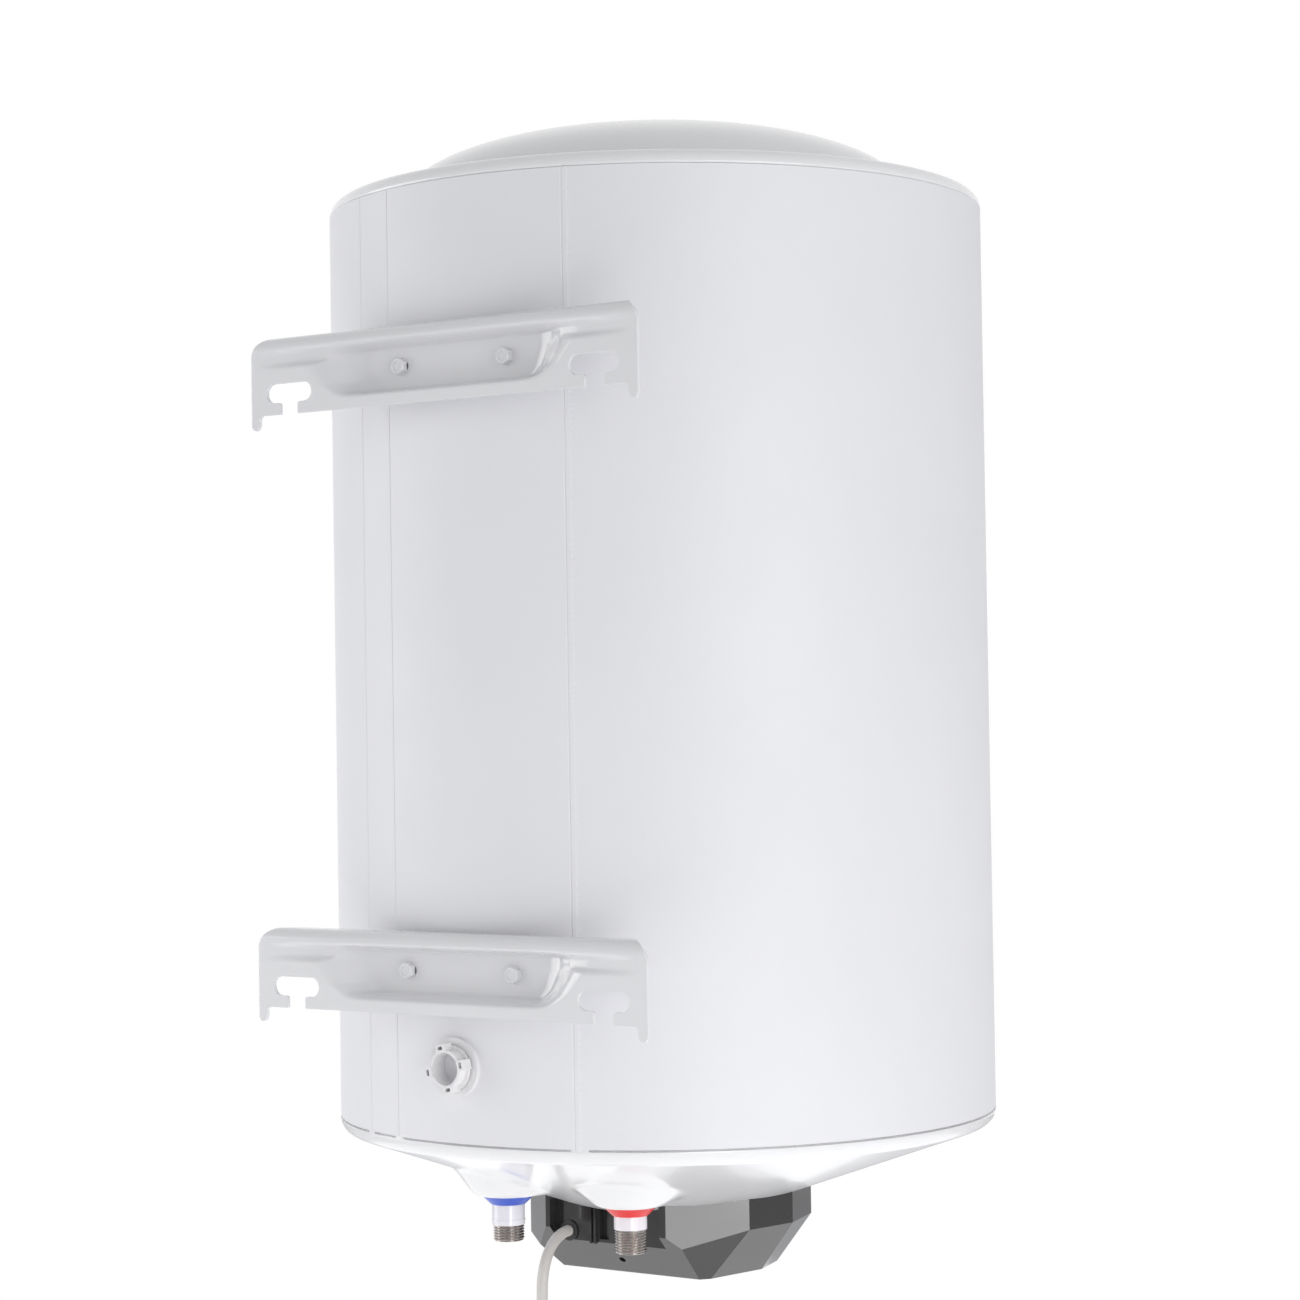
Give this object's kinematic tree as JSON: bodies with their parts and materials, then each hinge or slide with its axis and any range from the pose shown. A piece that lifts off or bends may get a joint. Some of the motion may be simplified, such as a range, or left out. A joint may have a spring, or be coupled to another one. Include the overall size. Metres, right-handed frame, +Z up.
{
  "type": "wall-hung tank water heater",
  "caption": "Wall-hung cylindrical electric storage water heater with slotted steel brackets, threaded pipes below and a faceted control cover.",
  "frame": {"origin": "in the wall plane, midway between the two hanging slots of the upper bracket, on their centre line", "axes": "+Z up, +Y out of the heater's back into the wall, -Y towards the room, X along the brackets"},
  "size_m": [0.45, 0.47, 1.0007],
  "materials": {
    "casing_white": "satin white powder paint",
    "cap_white": "gloss white powder paint",
    "bracket_white": "gloss white powder paint on pressed steel",
    "zinc_steel": "bright zinc plate, the bracket bolts overpainted white",
    "white_plastic": "moulded white nylon",
    "tank_steel": "blue vitreous enamel",
    "seal_rubber": "black EPDM",
    "copper_sheath": "tinned copper sheath",
    "magnesium": "cast grey magnesium",
    "stainless": "bright stainless steel with cut thread",
    "sleeve_white": "gloss white plastic",
    "collar_blue": "gloss blue plastic",
    "collar_red": "gloss red plastic",
    "foam_yellow": "closed cell polyurethane foam",
    "cover_black": "gloss black ABS, faceted",
    "knob_grey": "satin grey plastic",
    "control_black": "matt black plastic",
    "control_cream": "cream ceramic-look plastic",
    "switch_red": "gloss red plastic",
    "lens_green": "green lens",
    "gland_grey": "black plastic bushing",
    "cord_grey": "light grey PVC",
    "tie_black": "black nylon",
    "plug_brass": "nickelled brass"
  },
  "bodies": {
    "heater": {"outer_casing": "casing_white", "top_cap": "cap_white", "bottom_cap": "cap_white", "upper_bracket": "bracket_white", "lower_bracket": "bracket_white", "upper_bracket_bolts": "zinc_steel", "lower_bracket_bolts": "zinc_steel", "upper_mount_posts": "zinc_steel", "lower_mount_posts": "zinc_steel", "wall_spacer_socket": "white_plastic", "tank_shell": "tank_steel", "tank_top_head": "tank_steel", "tank_bottom_head": "tank_steel", "flange_neck": "tank_steel", "flange_gasket": "seal_rubber", "flange_plate": "tank_steel", "heating_element": "copper_sheath", "magnesium_anode": "magnesium", "anode_stud": "zinc_steel", "thermowell": "stainless", "flange_studs": "zinc_steel", "flange_nuts": "zinc_steel", "control_chassis": "zinc_steel", "cover_screws": "zinc_steel", "cold_inlet_pipe": "stainless", "hot_outlet_pipe": "stainless", "cold_pipe_sleeve": "sleeve_white", "hot_pipe_sleeve": "sleeve_white", "cold_collar": "collar_blue", "hot_collar": "collar_red", "hot_stand_pipe": "white_plastic", "cold_deflector": "white_plastic", "insulation_foam": "foam_yellow", "control_cover": "cover_black", "thermostat": "control_black", "switch_body": "control_black", "indicator_lens": "lens_green", "thermal_cutout": "control_black", "terminal_block": "control_cream", "thermostat_bulb": "copper_sheath", "cord_gland": "gland_grey", "power_cord": "cord_grey", "cord_coil": "cord_grey", "cord_tie": "tie_black", "cord_tail": "cord_grey", "power_plug": "cord_grey", "plug_pins": "plug_brass"},
    "knob": {"temperature_knob": "knob_grey"},
    "switch": {"power_switch": "switch_red"},
    "reset": {"cutout_reset_button": "switch_red"},
    "spacer": {"wall_spacer": "white_plastic"}
  },
  "joints": [
    {"name": "temperature_knob_turn", "type": "hinge", "parent": "heater", "child": "knob", "pos_m": [0, -0.311, -0.57399], "axis": [0, -0.7765, -0.6302], "range_deg": [-270, 0]},
    {"name": "power_switch_rock", "type": "hinge", "parent": "heater", "child": "switch", "pos_m": [-0.033, -0.30976, -0.57299], "axis": [1, 0, 0], "range_deg": [0, 14]},
    {"name": "cutout_reset_press", "type": "slide", "parent": "heater", "child": "reset", "axis": [0, 0, 1], "range_m": [0, 0.0015], "stiffness_N_per_m": 800},
    {"name": "wall_spacer_screw_out", "type": "slide", "parent": "heater", "child": "spacer", "axis": [0, 1, 0], "range_m": [0, 0.016]}
  ]
}
